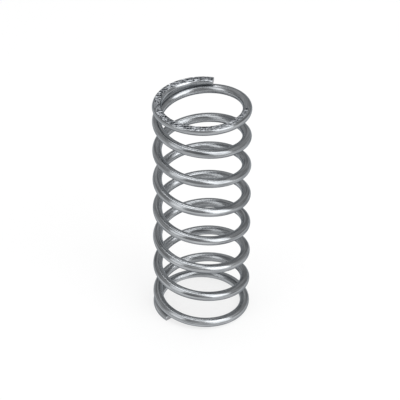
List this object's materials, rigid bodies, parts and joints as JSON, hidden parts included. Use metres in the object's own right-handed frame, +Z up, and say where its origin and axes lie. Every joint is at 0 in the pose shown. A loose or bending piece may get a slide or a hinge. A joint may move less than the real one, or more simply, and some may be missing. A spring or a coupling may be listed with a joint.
{
  "type": "compression spring",
  "caption": "Small cylindrical compression spring of round steel wire, wound left hand, with closed ends ground flat so that it stands and pushes square.",
  "frame": {"origin": "centre of the bottom ground face, on the coil's axis", "axes": "+Z runs up the coil's axis to the top ground face, +X and +Y lie in the bottom face"},
  "size_m": [0.019, 0.019, 0.047],
  "materials": {
    "spring_steel": "bare cold-drawn spring steel, fine die lines along the wire, satin grey"
  },
  "bodies": {
    "root": {"compression_spring": "spring_steel"}
  },
  "joints": []
}
